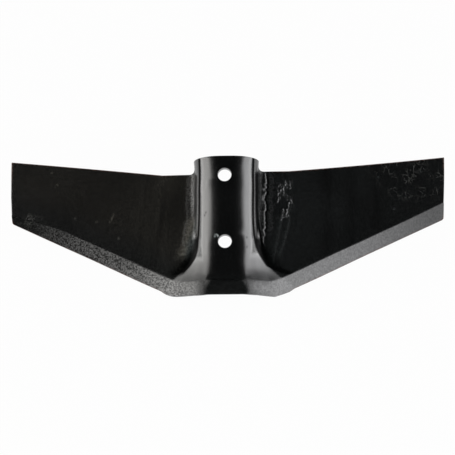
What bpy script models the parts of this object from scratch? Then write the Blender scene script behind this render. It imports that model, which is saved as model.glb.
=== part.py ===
"""A wing share for a cultivator tine, in metres, standing on its level cutting edges.

The share is one plate, so it is made here as it is made in the works: a flat blank is cut,
its cutting edge is ground to a bevel, the blank is pressed so that its middle arches over
the tine and its wings fold back, and the two bolt holes are drilled.

The pressing has a frame of its own. X runs across the share, Y up the neck from the nose,
and Z is square to the crown, whose outer face lies at zero.
"""

import math

import bmesh
import bpy
from mathutils import Vector

# The plate
THICKNESS = 0.008
EDGE_ROUND = 0.0007

# The outline, seen square to the crown
SPAN = 0.433
NECK_LENGTH = 0.134
NOSE_WIDTH = 0.0945
NOSE_CORNER = 0.009
TIP_RISE = 0.0852
TIP_LENGTH = 0.063
TIP_TAPER = 0.0022
TIP_CORNER = 0.003
ROOT_DROP = 0.0095
ROOT_LEVEL = 0.062
NOTCH_RADIUS = 0.014

# The ground edge: what is trimmed to straighten it, the share of its length that the flare takes up,
# and how far its drawing out spreads the corners
BEVEL_WIDTH = 0.016
NOSE_BEVEL_WIDTH = 0.0145
EDGE_LAND = 0.002
EDGE_TRIM = 0.0001
PAST_FLARE = 0.25
DRAWN_SPREAD = 0.0012

# The fold lines of the arch, as half widths: where the crown meets the flank, and the flank the wing
CROWN_LINE_TOP = 0.030
CROWN_LINE_LOW = 0.0205
CROWN_LINE_NOSE = 0.0135
ROOT_LINE_TOP = 0.033
ROOT_LINE_LOW = 0.030

# The flare towards the nose, where each root line turns outward and the crown narrows
FLARE_RISE = 0.057
CROWN_SETTLE = 0.040
FLARE_RADIUS = 0.044
FLARE_TURN = math.radians(52)

# The radii of the bends
SHOULDER_RADIUS = 0.027
SHOULDER_RADIUS_NOSE = 0.020
ROOT_RADIUS = 0.008
ROOT_RADIUS_NOSE = 0.038
LEAST_FLAT = 0.0025

# The wings' plane: its depth under the crown at the nose, its fold back and its fall up the neck
WING_DEPTH = 0.0059
WING_FOLD = math.radians(14)
WING_FALL = math.radians(8)

# The bolt holes
HOLE_DIAMETER = 0.013
HOLE_SPACING = 0.065
UPPER_HOLE_DROP = 0.0186
HOLE_SIDES = 40

# How finely the press follows the form
CROWN_STEP = 0.003
ROOT_STEP = 0.0015
WING_STEP = 0.005
FLARE_STEP = 0.0038
NECK_STEP = 0.0075
LEAST_EDGE = 0.00005
TOUCH = 0.000001
ARC_STEPS = 7
CREASE = math.radians(17)
FLAT = math.radians(0.1)

PAINT = (0.012, 0.0125, 0.013, 1.0)
PAINT_ROUGHNESS = 0.22


def blend(low, high, share):
    return low + (high - low) * share


def narrowing(rise):
    """How far the crown has narrowed towards the nose at this rise, from 0 to 1."""
    share = min(max((FLARE_RISE - rise) / CROWN_SETTLE, 0.0), 1.0)
    return share * share * (3 - 2 * share)


def fold_lines(rise):
    """Half widths of the crown line and the root line at this rise up the neck."""
    if rise >= FLARE_RISE:
        opening = ((rise - FLARE_RISE) / (NECK_LENGTH - FLARE_RISE)) ** 2
        crown = blend(CROWN_LINE_LOW, CROWN_LINE_TOP, opening)
        return crown, blend(ROOT_LINE_LOW, ROOT_LINE_TOP, opening)
    below = FLARE_RISE - rise
    crown = blend(CROWN_LINE_LOW, CROWN_LINE_NOSE, narrowing(rise))
    turned = FLARE_RADIUS * math.sin(FLARE_TURN)
    if below <= turned:
        return crown, ROOT_LINE_LOW + FLARE_RADIUS - math.sqrt(FLARE_RADIUS**2 - below**2)
    spread = FLARE_RADIUS * (1 - math.cos(FLARE_TURN))
    return crown, ROOT_LINE_LOW + spread + (below - turned) * math.tan(FLARE_TURN)


def wing_depth(across, rise):
    """Depth of the wings' outer face under the crown."""
    return WING_DEPTH + across * math.tan(WING_FOLD) + rise * math.tan(WING_FALL)


def section(rise):
    """Half the section at this rise, from the centre line out, as (length, curvature) pieces."""
    crown, root = fold_lines(rise)
    depth = wing_depth(root, rise)
    flank = math.hypot(root - crown, depth)
    slope = math.atan2(depth, root - crown)

    root_turn = slope - WING_FOLD
    opening = max(0.0, 1 - rise / FLARE_RISE) ** 2
    root_radius = blend(ROOT_RADIUS, ROOT_RADIUS_NOSE, opening)
    root_reach = root_radius * math.tan(root_turn / 2)

    shoulder_radius = blend(SHOULDER_RADIUS, SHOULDER_RADIUS_NOSE, narrowing(rise))
    room = min(crown - LEAST_FLAT, flank - root_reach)
    shoulder_reach = min(shoulder_radius * math.tan(slope / 2), room)
    shoulder_radius = shoulder_reach / math.tan(slope / 2)

    return (
        (crown - shoulder_reach, 0.0),
        (shoulder_radius * slope, 1 / shoulder_radius),
        (flank - shoulder_reach - root_reach, 0.0),
        (root_radius * root_turn, -1 / root_radius),
    )


def walk(length, pieces):
    """Across and down after this length along the pieces, then straight on."""
    across = down = heading = 0.0
    for piece_length, curvature in pieces:
        step = min(length, piece_length)
        half_turn = curvature * step / 2
        chord = step * (math.sin(half_turn) / half_turn if half_turn else 1.0)
        across += chord * math.cos(heading + half_turn)
        down += chord * math.sin(heading + half_turn)
        heading += 2 * half_turn
        length -= step
    return across + length * math.cos(heading), down + length * math.sin(heading)


def outer_face(along, rise):
    """Where the press puts a point of the blank's outer face."""
    across, down = walk(abs(along), section(rise))
    return Vector((math.copysign(across, along), rise, -down))


def pressed(point):
    """Where the press puts a point of the flat blank, keeping the plate's thickness."""
    along, rise, height = point
    reach = 0.0001
    across = outer_face(along + reach, rise) - outer_face(along - reach, rise)
    up = outer_face(along, rise + reach) - outer_face(along, rise - reach)
    return outer_face(along, rise) + across.cross(up).normalized() * height


def arc(centre, radius, start, end):
    """Points of an arc in the plane of the blank, angles in degrees."""
    points = []
    for step in range(ARC_STEPS + 1):
        angle = math.radians(blend(start, end, step / ARC_STEPS))
        points.append((centre[0] + radius * math.cos(angle), centre[1] + radius * math.sin(angle)))
    return points


def flattened(across, rise):
    """The point of the flat blank that the press puts here, across and up the share."""
    low, high = 0.0, 2 * across + FLARE_RISE
    while high - low > TOUCH:
        middle = (low + high) / 2
        if outer_face(middle, rise).x < across:
            low = middle
        else:
            high = middle
    return Vector((low, rise))


def blank_corners():
    """The blank's corners on one side: at the nose, and the lower corner of the tip."""
    nose = flattened(NOSE_WIDTH / 2, 0.0) - Vector((0, DRAWN_SPREAD))
    tip_low = flattened(SPAN / 2 - TIP_TAPER + DRAWN_SPREAD, TIP_RISE)
    return nose, tip_low


def rounded(corner, before, after, radius):
    """A corner turned into an arc between its two sides."""
    to_before = (before - corner).normalized()
    to_after = (after - corner).normalized()
    half_angle = to_before.angle(to_after) / 2
    reach = radius / math.tan(half_angle)
    centre = corner + (to_before + to_after).normalized() * radius / math.sin(half_angle)
    start = corner + to_before * reach - centre
    turn = (corner + to_after * reach - centre).angle_signed(start)
    first = math.degrees(math.atan2(start.y, start.x))
    return arc(centre, radius, first, first + math.degrees(turn))


def neck_side():
    """The half width of the flat blank at the neck, down to where the root bend begins."""
    pieces = section(NECK_LENGTH - ROOT_DROP)
    return sum(length for length, _ in pieces[:3])


def half_outline():
    """The blank's outline on one side, from the middle of the nose to the middle of the neck's top."""
    nose, tip_low = blank_corners()
    bevel_taper = TIP_TAPER * (1 - BEVEL_WIDTH / TIP_LENGTH)
    tip_bevel = flattened(SPAN / 2 - bevel_taper, TIP_RISE + BEVEL_WIDTH)
    tip_high = flattened(SPAN / 2, TIP_RISE + TIP_LENGTH)
    root = flattened(ROOT_LEVEL, NECK_LENGTH - ROOT_DROP)
    nose_start = Vector((nose.x - NOSE_BEVEL_WIDTH, 0.0))
    points = [(0.0, 0.0), tuple(nose_start)] + rounded(nose, nose_start, tip_low, NOSE_CORNER)
    points += rounded(tip_low, nose, tip_bevel, TIP_CORNER)
    points += [tuple(tip_bevel), tuple(tip_high), tuple(root)]
    return points + notch(root.y)


def notch(root_rise):
    """The hollow between the wing's top edge and the neck, up to the neck's top."""
    side = neck_side()
    climb = min(NOTCH_RADIUS, ROOT_DROP)
    last = -180 + math.degrees(math.asin(1 - climb / NOTCH_RADIUS))
    points = arc((side + NOTCH_RADIUS, root_rise + NOTCH_RADIUS), NOTCH_RADIUS, -90, last)
    if ROOT_DROP - climb > LEAST_EDGE:
        points.append((side, NECK_LENGTH))
    return points


def cut_blank():
    """The flat plate, its outer face at height zero, with its edges broken."""
    plate = bmesh.new()
    right = half_outline()
    left = [(-x, y) for x, y in reversed(right) if x > LEAST_EDGE]
    face = plate.faces.new([plate.verts.new((x, y, -THICKNESS)) for x, y in right + left])
    lifted = bmesh.ops.extrude_face_region(plate, geom=[face])["geom"]
    top = [item for item in lifted if isinstance(item, bmesh.types.BMVert)]
    bmesh.ops.translate(plate, vec=(0, 0, THICKNESS), verts=top)
    bmesh.ops.recalc_face_normals(plate, faces=plate.faces)
    broken = [edge for edge in plate.edges if is_rim(edge) and not is_cutting(edge)]
    bmesh.ops.bevel(
        plate, geom=broken, offset=EDGE_ROUND, segments=1, affect="EDGES", clamp_overlap=True
    )
    return plate


def is_rim(edge):
    """Whether this edge lies round the outer face of the flat plate."""
    return all(abs(vert.co.z) < LEAST_EDGE for vert in edge.verts)


def is_cutting(edge):
    """Whether this edge of the blank belongs to the nose or the cutting edges."""
    nose, tip_low = blank_corners()
    line = (tip_low - nose).normalized()
    for vert in edge.verts:
        offset = Vector((abs(vert.co.x), vert.co.y)) - nose
        below_tip = vert.co.y < tip_low.y + TIP_CORNER
        beside_line = abs(offset.x * line.y - offset.y * line.x) < TIP_CORNER
        if vert.co.y > DRAWN_SPREAD and not (below_tip and beside_line):
            return False
    return True


def grind(plate, start, end, width):
    """Grinds the outer face along the edge from start to end, leaving the land."""
    line = Vector((end.x - start.x, end.y - start.y, 0))
    slope = Vector((-line.y, line.x, 0)).normalized() * width + Vector((0, 0, THICKNESS - EDGE_LAND))
    normal = line.cross(slope).normalized()
    if normal.z < 0:
        normal.negate()
    cut_off(plate, Vector((start.x, start.y, EDGE_LAND - THICKNESS)), normal)


def cut_off(plate, point, normal):
    """Takes off what lies past a plane, and closes the cut."""
    everything = plate.verts[:] + plate.edges[:] + plate.faces[:]
    cut = bmesh.ops.bisect_plane(
        plate, geom=everything, dist=TOUCH, plane_co=point, plane_no=normal, clear_outer=True
    )
    rim = [item for item in cut["geom_cut"] if isinstance(item, bmesh.types.BMEdge)]
    bmesh.ops.holes_fill(plate, edges=rim, sides=0)


def score(plate, point, normal):
    """Divides the plate's faces along a plane."""
    everything = plate.verts[:] + plate.edges[:] + plate.faces[:]
    bmesh.ops.bisect_plane(
        plate, geom=everything, dist=LEAST_EDGE, plane_co=point, plane_no=normal
    )


def stations(start, end, step):
    """Places from start up to end, in even steps of about this size."""
    count = max(1, round((end - start) / step))
    return [blend(start, end, index / count) for index in range(count)]


def score_lines():
    """Where the plate is divided for the press: places across it, and places up it."""
    root_start = min(sum(length for length, _ in section(rise)[:3]) for rise in (FLARE_RISE, NECK_LENGTH))
    root_end = max(sum(length for length, _ in section(rise)) for rise in (FLARE_RISE, NECK_LENGTH))
    flare_end = sum(length for length, _ in section(0.0))
    across = stations(LEAST_FLAT, root_start, CROWN_STEP) + stations(root_start, root_end, ROOT_STEP)
    across += stations(root_end, flare_end, WING_STEP) + [flare_end]
    up = stations(FLARE_STEP, FLARE_RISE, FLARE_STEP) + stations(FLARE_RISE, NECK_LENGTH, NECK_STEP)
    return across, up


def pressed_share():
    """The plate, cut, ground, divided and pressed, with what stayed flat in whole faces."""
    plate = cut_blank()
    nose, tip_low = blank_corners()
    grind(plate, Vector((-nose.x, nose.y)), nose, NOSE_BEVEL_WIDTH)
    grind(plate, nose, tip_low, BEVEL_WIDTH)
    grind(plate, Vector((-tip_low.x, tip_low.y)), Vector((-nose.x, nose.y)), BEVEL_WIDTH)
    across, up = score_lines()
    for place in across:
        score(plate, (place, 0, 0), (1, 0, 0))
        score(plate, (-place, 0, 0), (1, 0, 0))
    for place in up:
        score(plate, (0, place, 0), (0, 1, 0))
    bmesh.ops.remove_doubles(plate, verts=plate.verts[:], dist=LEAST_EDGE)
    for vert in plate.verts:
        vert.co = pressed(vert.co)
    trim(plate, 1)
    trim(plate, -1)
    bmesh.ops.dissolve_limit(
        plate, angle_limit=FLAT, verts=plate.verts[:], edges=plate.edges[:]
    )
    bmesh.ops.triangulate(plate, faces=plate.faces[:])
    bmesh.ops.recalc_face_normals(plate, faces=plate.faces[:])
    return plate


def cutting_edge():
    """Two points of a pressed cutting edge: past the flare, and at the tip."""
    nose, tip_low = blank_corners()
    return pressed((*nose.lerp(tip_low, PAST_FLARE), -THICKNESS)), pressed((*tip_low, -THICKNESS))


def trim(plate, side):
    """Straightens the cutting edge on one side, which the press leaves a hair out of line."""
    inner, tip = cutting_edge()
    mirror = Vector((side, 1, 1))
    line = (tip - inner) * mirror
    wing_normal = Vector((side * math.tan(WING_FOLD), math.tan(WING_FALL), 1))
    outward = line.cross(wing_normal).normalized() * side
    cut_off(plate, inner * mirror - outward * EDGE_TRIM, outward)


def edge_pitch():
    """The neck's pitch at which the cutting edges lie level."""
    inner, tip = cutting_edge()
    return math.atan2(inner.z - tip.z, tip.y - inner.y)


def add_object(name, mesh):
    thing = bpy.data.objects.new(name, mesh)
    bpy.context.scene.collection.objects.link(thing)
    return thing


def paint():
    material = bpy.data.materials.new("black_paint")
    material.use_nodes = True
    shader = material.node_tree.nodes["Principled BSDF"]
    shader.inputs["Base Color"].default_value = PAINT
    shader.inputs["Roughness"].default_value = PAINT_ROUGHNESS
    return material


def make_share():
    """The pressed plate, tilted onto its cutting edges and centred over the ground's zero."""
    plate = pressed_share()
    mesh = bpy.data.meshes.new("share")
    plate.to_mesh(mesh)
    plate.free()
    mesh.shade_smooth()
    mesh.set_sharp_from_angle(angle=CREASE)
    mesh.materials.append(paint())
    share = add_object("share", mesh)
    normals = share.modifiers.new("flats", "WEIGHTED_NORMAL")
    normals.keep_sharp = True
    share.rotation_euler.x = edge_pitch()
    turn = share.rotation_euler.to_matrix()
    corners = [turn @ vert.co for vert in mesh.vertices]
    depths = [corner.y for corner in corners]
    share.location = (0, -(min(depths) + max(depths)) / 2, -min(corner.z for corner in corners))
    return share


def drill(share, name, rise):
    """A round hole square to the crown."""
    tool = bmesh.new()
    bmesh.ops.create_cone(
        tool,
        cap_ends=True,
        segments=HOLE_SIDES,
        radius1=HOLE_DIAMETER / 2,
        radius2=HOLE_DIAMETER / 2,
        depth=6 * THICKNESS,
    )
    mesh = bpy.data.meshes.new(name)
    tool.to_mesh(mesh)
    tool.free()
    cutter = add_object(name, mesh)
    cutter.parent = share
    cutter.location = (0, rise, -THICKNESS / 2)
    cutter.hide_render = True
    cutter.display_type = "WIRE"
    hole = share.modifiers.new(name, "BOOLEAN")
    hole.operation = "DIFFERENCE"
    hole.solver = "EXACT"
    hole.object = cutter


def main():
    for thing in list(bpy.data.objects):
        bpy.data.objects.remove(thing)
    share = make_share()
    upper_hole = NECK_LENGTH - UPPER_HOLE_DROP
    drill(share, "upper_hole", upper_hole)
    drill(share, "lower_hole", upper_hole - HOLE_SPACING)


main()
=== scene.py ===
"""The looks of a wing share: its enamel, its forged and ground surfaces, and the studio.

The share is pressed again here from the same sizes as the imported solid, with a finer mesh, and
laid in the solid's place. Its own frame is that of the pressing: X across the share, Y up the
neck from the nose, and Z square to the crown, whose outer face lies at zero.
"""

import math

import bpy
import numpy as np
from mathutils import Matrix, Vector


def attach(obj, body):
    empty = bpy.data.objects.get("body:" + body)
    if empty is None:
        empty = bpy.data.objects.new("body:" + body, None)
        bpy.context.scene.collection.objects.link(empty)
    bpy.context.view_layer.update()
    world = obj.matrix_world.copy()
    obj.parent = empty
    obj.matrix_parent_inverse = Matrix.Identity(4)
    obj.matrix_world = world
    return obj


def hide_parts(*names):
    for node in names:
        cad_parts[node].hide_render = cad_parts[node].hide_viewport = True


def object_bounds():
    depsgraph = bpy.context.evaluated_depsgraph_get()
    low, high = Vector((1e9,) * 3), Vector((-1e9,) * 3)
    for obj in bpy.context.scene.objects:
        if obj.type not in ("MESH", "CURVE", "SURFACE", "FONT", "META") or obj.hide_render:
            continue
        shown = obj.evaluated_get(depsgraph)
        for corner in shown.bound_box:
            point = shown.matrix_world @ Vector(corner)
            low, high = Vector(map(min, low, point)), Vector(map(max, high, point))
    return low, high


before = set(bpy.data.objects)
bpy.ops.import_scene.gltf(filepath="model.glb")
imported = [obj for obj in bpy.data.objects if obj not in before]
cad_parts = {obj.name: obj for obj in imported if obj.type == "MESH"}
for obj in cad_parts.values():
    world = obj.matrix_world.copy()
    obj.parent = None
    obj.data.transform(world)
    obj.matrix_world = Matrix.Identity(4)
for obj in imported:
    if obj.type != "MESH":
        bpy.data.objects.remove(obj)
cad_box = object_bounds()
scene = bpy.context.scene
scene.view_settings.view_transform = "Standard"

# Sizes are in metres, but the marks and the enamel are laid out in millimetres
MILLI = 0.001

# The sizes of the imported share
THICKNESS = 0.008
EDGE_ROUND = 0.0007
SPAN = 0.433
NECK_LENGTH = 0.134
NOSE_WIDTH = 0.0945
TIP_RISE = 0.0852
TIP_LENGTH = 0.063
TIP_TAPER = 0.0022
TIP_CORNER = 0.003
ROOT_DROP = 0.0095
ROOT_LEVEL = 0.062
NOSE_BEVEL_WIDTH = 0.0145
EDGE_LAND = 0.002
EDGE_TRIM = 0.0001
PAST_FLARE = 0.25
DRAWN_SPREAD = 0.0012
CROWN_LINE_TOP = 0.030
CROWN_LINE_LOW = 0.0205
CROWN_LINE_NOSE = 0.0135
ROOT_LINE_TOP = 0.033
ROOT_LINE_LOW = 0.030
FLARE_RISE = 0.057
CROWN_SETTLE = 0.040
FLARE_RADIUS = 0.044
FLARE_TURN = math.radians(52)
SHOULDER_RADIUS_NOSE = 0.020
ROOT_RADIUS = 0.008
ROOT_RADIUS_NOSE = 0.038
WING_DEPTH = 0.0059
WING_FOLD = math.radians(14)
WING_FALL = math.radians(8)
HOLE_DIAMETER = 0.013
HOLE_SPACING = 0.065
UPPER_HOLE_DROP = 0.0186
UPPER_HOLE = NECK_LENGTH - UPPER_HOLE_DROP
HOLE_RISES = (UPPER_HOLE - HOLE_SPACING, UPPER_HOLE)
NOSE_CREASE = NOSE_BEVEL_WIDTH - DRAWN_SPREAD

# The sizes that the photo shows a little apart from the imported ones
BEVEL_SHOWN = 0.0132
SHOULDER_RADIUS_SHOWN = 0.029
NOTCH = 0.009
LEAST_FLAT = 0.001

# How softly the ground bevels meet the face, at the nose and past it, and each other
NOSE_EASE = 0.0004
EDGE_EASE = 0.00012
EASE_REACH = 0.02
CORNER_EASE = 0.0012

# Where out along the blank the bevels change their width and the nose's corners begin to lift
NARROWS_FROM = 0.168
NARROWS_TO = 0.240
NOSE_LIFT_START = 0.024

# Where up the neck the crown and root lines' shifts change, and how the crown opens at the nose
NECK_HEAD = 0.112
NECK_HEAD_EASE = 0.012
SETTLE_AHEAD = 0.012
NOSE_OPENING = 0.006
OPENING_FULL = 0.002
OPENING_END = 0.020

# What the photo shows to differ from one side to the other, left first
ROOT_OFFSET = {-1: -0.0008, 1: 0.0022}
ROOT_FALL = {-1: 0.0011, 1: 0.0015}
TOP_BOW = {-1: 0.00025, 1: -0.00055}
NOSE_BLUNT = {-1: 0.0020, 1: 0.0008}
NOSE_LIFT = {-1: 0.0030, 1: 0.0018}
TIP_NARROWING = {-1: 0.5, 1: -0.06}
# The crown and root lines shift at the nose, in the middle and at the neck's head
CROWN_SHIFTS = ({-1: 0.0, 1: 0.0016}, {-1: 0.0005, 1: 0.0034}, {-1: 0.0, 1: 0.0022})
ROOT_SHIFTS = ({-1: -0.0026, 1: 0.0024}, {-1: 0.0, 1: 0.0016}, {-1: -0.0020, 1: 0.0})

# The mesh: columns across each half and rows up it, each an even count
BLOCK_HALF = 0.010
BLOCK_COLUMNS = 16
ARCH_END = 0.088
ARCH_COLUMNS = 150
WING_COLUMNS = 92
BEVEL_ROWS = 16
ROWS_TO_LOWER_BLOCK = 28
BLOCK_ROWS = 20
ROWS_BETWEEN_BLOCKS = 46
ROWS_TO_TOP = 8
ROUND_STEPS = 4
BACK_REACH = 0.003
BACK_CHAMFER = 0.0002
HOLE_RINGS = 7
HOLE_ROUND = 0.0004
HOLE_ROUND_STEPS = 3
HOLE_WALL_STEPS = 6
FIRST_HOLE_ROW = BEVEL_ROWS + ROWS_TO_LOWER_BLOCK
HOLE_ROWS = (FIRST_HOLE_ROW, FIRST_HOLE_ROW + BLOCK_ROWS + ROWS_BETWEEN_BLOCKS)
SHARP_FROM = math.radians(38)

# How often the press is tried again to find where a point lies on the flat blank
HALVINGS = 40
CORRECTIONS = 12


def new_object(name, data):
    piece = bpy.data.objects.new(name, data)
    scene.collection.objects.link(piece)
    return piece


def blend(low, high, share):
    return low + (high - low) * share


def smooth(value, start, end):
    """A soft step from 0 at start to 1 at end."""
    share = np.clip((value - start) / (end - start), 0, 1)
    return share * share * (3 - 2 * share)


# The pressing, for arrays of points


def by_side(side, values):
    """The left or the right of two values, for arrays of sides."""
    return np.where(np.asarray(side) < 0, values[-1], values[1])


def shift(rise, side, shifts):
    """How far a line is shifted out at these rises."""
    at_nose, in_middle, at_head = (by_side(side, values) for values in shifts)
    low = blend(in_middle, at_nose, narrowing(rise))
    return blend(low, at_head, smooth(rise, NECK_HEAD - NECK_HEAD_EASE, NECK_HEAD + NECK_HEAD_EASE))


def narrowing(rise):
    """How far the crown has narrowed towards the nose at these rises, from 0 to 1."""
    share = np.clip((FLARE_RISE + SETTLE_AHEAD - rise) / (CROWN_SETTLE + SETTLE_AHEAD), 0, 1)
    return share**3 * (share * (6 * share - 15) + 10)


def fold_lines(rise, side):
    """How far out the crown line and the root line lie at these rises."""
    opening = np.clip((rise - FLARE_RISE) / (NECK_LENGTH - FLARE_RISE), 0, None) ** 2
    below = np.clip(FLARE_RISE - rise, 0, None)
    crown = blend(blend(CROWN_LINE_LOW, CROWN_LINE_TOP, opening), CROWN_LINE_NOSE, narrowing(rise))
    turned = FLARE_RADIUS * math.sin(FLARE_TURN)
    round_part = FLARE_RADIUS - np.sqrt(FLARE_RADIUS**2 - np.minimum(below, turned) ** 2)
    straight_part = np.clip(below - turned, 0, None) * math.tan(FLARE_TURN)
    root = np.where(
        below > 0,
        ROOT_LINE_LOW + round_part + straight_part,
        blend(ROOT_LINE_LOW, ROOT_LINE_TOP, opening),
    )
    crown = crown + shift(rise, side, CROWN_SHIFTS)
    crown = crown + NOSE_OPENING * (1 - smooth(rise, OPENING_FULL, OPENING_END))
    return crown, root + shift(rise, side, ROOT_SHIFTS)


def section(rise, side):
    """Half the section, from the centre line out, as (length, curvature) pieces."""
    crown, root = fold_lines(rise, side)
    depth = WING_DEPTH + root * math.tan(WING_FOLD) + rise * math.tan(WING_FALL)
    flank = np.hypot(root - crown, depth)
    slope = np.arctan2(depth, root - crown)
    flare = np.clip(1 - rise / FLARE_RISE, 0, None) ** 2
    root_turn = slope - WING_FOLD
    root_radius = blend(ROOT_RADIUS, ROOT_RADIUS_NOSE, flare)
    root_reach = root_radius * np.tan(root_turn / 2)
    shoulder_radius = blend(SHOULDER_RADIUS_SHOWN, SHOULDER_RADIUS_NOSE, narrowing(rise))
    room = np.minimum(crown - LEAST_FLAT, flank - root_reach)
    shoulder_reach = np.minimum(shoulder_radius * np.tan(slope / 2), room)
    shoulder_radius = shoulder_reach / np.tan(slope / 2)
    return (
        (crown - shoulder_reach, 0 * rise),
        (shoulder_radius * slope, 1 / shoulder_radius),
        (flank - shoulder_reach - root_reach, 0 * rise),
        (root_radius * root_turn, -1 / root_radius),
    )


def outer_face(along, rise):
    """Where the press puts points of the blank's outer face."""
    length = np.abs(along)
    across, down, heading = 0 * length, 0 * length, 0 * length
    for piece_length, curvature in section(rise, np.sign(along)):
        step = np.minimum(length, piece_length)
        half_turn = curvature * step / 2
        chord = step * np.sinc(half_turn / math.pi)
        across = across + chord * np.cos(heading + half_turn)
        down = down + chord * np.sin(heading + half_turn)
        heading = heading + 2 * half_turn
        length = length - step
    across = across + length * np.cos(heading)
    down = down + length * np.sin(heading)
    return np.stack([np.copysign(across, along), rise, -down], -1)


def pressed(along, rise, height):
    """Where the press puts points of the flat blank, keeping the plate's thickness."""
    reach = 0.0001
    across = outer_face(along + reach, rise) - outer_face(along - reach, rise)
    up = outer_face(along, rise + reach) - outer_face(along, rise - reach)
    normal = np.cross(across, up)
    normal /= np.linalg.norm(normal, axis=-1, keepdims=True)
    return outer_face(along, rise) + normal * np.asarray(height)[..., None]


def flattened(across, rise, side):
    """How far along the flat blank the point lies that the press puts here."""
    low, high = 0.0, 2 * across + FLARE_RISE
    for _ in range(HALVINGS):
        middle = (low + high) / 2
        if outer_face(np.array(side * middle), np.array(rise))[0] * side < across:
            low = middle
        else:
            high = middle
    return low


# The blank's outline


class Outline:
    """The corners of the flat blank on one side, and the lines between them."""

    def __init__(self, side):
        self.side = side
        self.nose = np.array([flattened(NOSE_WIDTH / 2, 0.0, side), -DRAWN_SPREAD])
        tip_across = SPAN / 2 - TIP_TAPER + DRAWN_SPREAD
        self.tip_low = np.array([flattened(tip_across, TIP_RISE, side), TIP_RISE])
        tip_width = float(self.bevel_width(self.tip_low[0]))
        bevel_across = SPAN / 2 - TIP_TAPER * (1 - tip_width / TIP_LENGTH)
        self.tip_bevel = flattened(bevel_across, TIP_RISE + tip_width, side)
        tip_rise = TIP_RISE + TIP_LENGTH
        self.tip_high = np.array([flattened(SPAN / 2, tip_rise, side), tip_rise])
        root_rise = NECK_LENGTH - ROOT_DROP
        self.root = np.array([flattened(ROOT_LEVEL, root_rise, side), root_rise + ROOT_OFFSET[side]])
        pieces = section(np.array(root_rise), side)
        neck_side = float(sum(length for length, _ in pieces[:3]))
        climb = NECK_LENGTH - self.root[1] + ROOT_FALL[side]
        lean = math.asin(max(0.0, 1 - climb / NOTCH))
        self.notch_start = neck_side + NOTCH * (1 - math.cos(lean))
        self.notch_end = neck_side + NOTCH
        line = self.tip_low - self.nose
        self.edge_line = line / np.linalg.norm(line)

    def edge_rise(self, along):
        """The rise of the cutting edge's line, trimmed straight."""
        slope = self.edge_line[1] / self.edge_line[0]
        return self.nose[1] + (along - self.nose[0]) * slope + EDGE_TRIM / self.edge_line[0]

    def bevel_width(self, along):
        """The ground bevel's width, which changes towards the tip."""
        return BEVEL_SHOWN * (1 - TIP_NARROWING[self.side] * smooth(along, NARROWS_FROM, NARROWS_TO))

    def bottom(self, along):
        """The rise of the nose and the cutting edge, with a blunt corner between them."""
        start = self.nose[0] - NOSE_BEVEL_WIDTH
        drop = np.clip((along - start) / NOSE_BEVEL_WIDTH, 0, None) * DRAWN_SPREAD
        lift = np.clip((along - NOSE_LIFT_START) / (self.nose[0] - NOSE_LIFT_START), 0, None) ** 1.5
        drop = drop - lift * NOSE_LIFT[self.side]
        edge = self.edge_rise(along)
        gap = np.clip(NOSE_BLUNT[self.side] - np.abs(edge + drop), 0, None)
        return np.maximum(-drop, edge) + gap**2 / (4 * NOSE_BLUNT[self.side])

    def bevel_top(self, along):
        """The rise at which the ground bevel ends."""
        edge = self.edge_rise(along) + self.bevel_width(along) / self.edge_line[0]
        return np.maximum(NOSE_CREASE, edge)

    def top(self, along):
        """The rise of the neck's top, the notch beside it and the wing's top edge."""
        from_centre = np.clip(along - self.notch_end, -NOTCH, 0)
        notch = NOTCH - np.sqrt(NOTCH**2 - from_centre**2)
        fall = (along - self.root[0]) / (self.root[0] - self.notch_end)
        level = self.root[1] + np.clip(fall, -1, 0) * ROOT_FALL[self.side] + notch
        out = (along - self.root[0]) / (self.tip_high[0] - self.root[0])
        rising = np.clip(out, 0, None) * (self.tip_high[1] - self.root[1])
        bow = 4 * np.clip(out * (1 - out), 0, None) * TOP_BOW[self.side]
        return np.where(along <= self.notch_start, NECK_LENGTH, level + rising + bow)

    def ground(self, along, rise):
        """How deep the ground bevels lie under the outer face, as a height of 0 or less."""
        depth = THICKNESS - EDGE_LAND
        nose = depth * ((rise + DRAWN_SPREAD) / NOSE_BEVEL_WIDTH - 1)
        beside = (rise - self.nose[1]) * self.edge_line[0] - (along - self.nose[0]) * self.edge_line[1]
        edge = depth * (beside / self.bevel_width(along) - 1)
        joined = (nose + edge - np.sqrt((nose - edge) ** 2 + CORNER_EASE**2)) / 2
        ease = blend(NOSE_EASE, EDGE_EASE, smooth(along, self.nose[0], self.nose[0] + EASE_REACH))
        return (joined - np.sqrt(joined**2 + ease**2)) / 2


OUTLINES = {side: Outline(side) for side in (-1, 1)}


def round_shares():
    """Distances from the rim inside its quarter round, as shares of the radius, down to 0."""
    return 1 - np.sin(np.linspace(0, math.pi / 2, ROUND_STEPS + 1)[1:])


def column_places(outline, reach):
    """How far out the columns of one half lie at the blank's foot."""
    inner = np.linspace(0, BLOCK_HALF, BLOCK_COLUMNS + 1)
    neck_columns = 2 * round(ARCH_COLUMNS * (outline.notch_start - BLOCK_HALF) / (ARCH_END - BLOCK_HALF) / 2)
    neck = np.linspace(BLOCK_HALF, outline.notch_start, neck_columns + 1)[1:]
    arch = np.linspace(outline.notch_start, ARCH_END, ARCH_COLUMNS - neck_columns + 1)[1:]
    wing = np.linspace(ARCH_END, outline.tip_low[0] - reach, WING_COLUMNS + 1)[1:]
    return np.concatenate([inner, neck, arch, wing, outline.tip_low[0] - round_shares() * reach])


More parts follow.
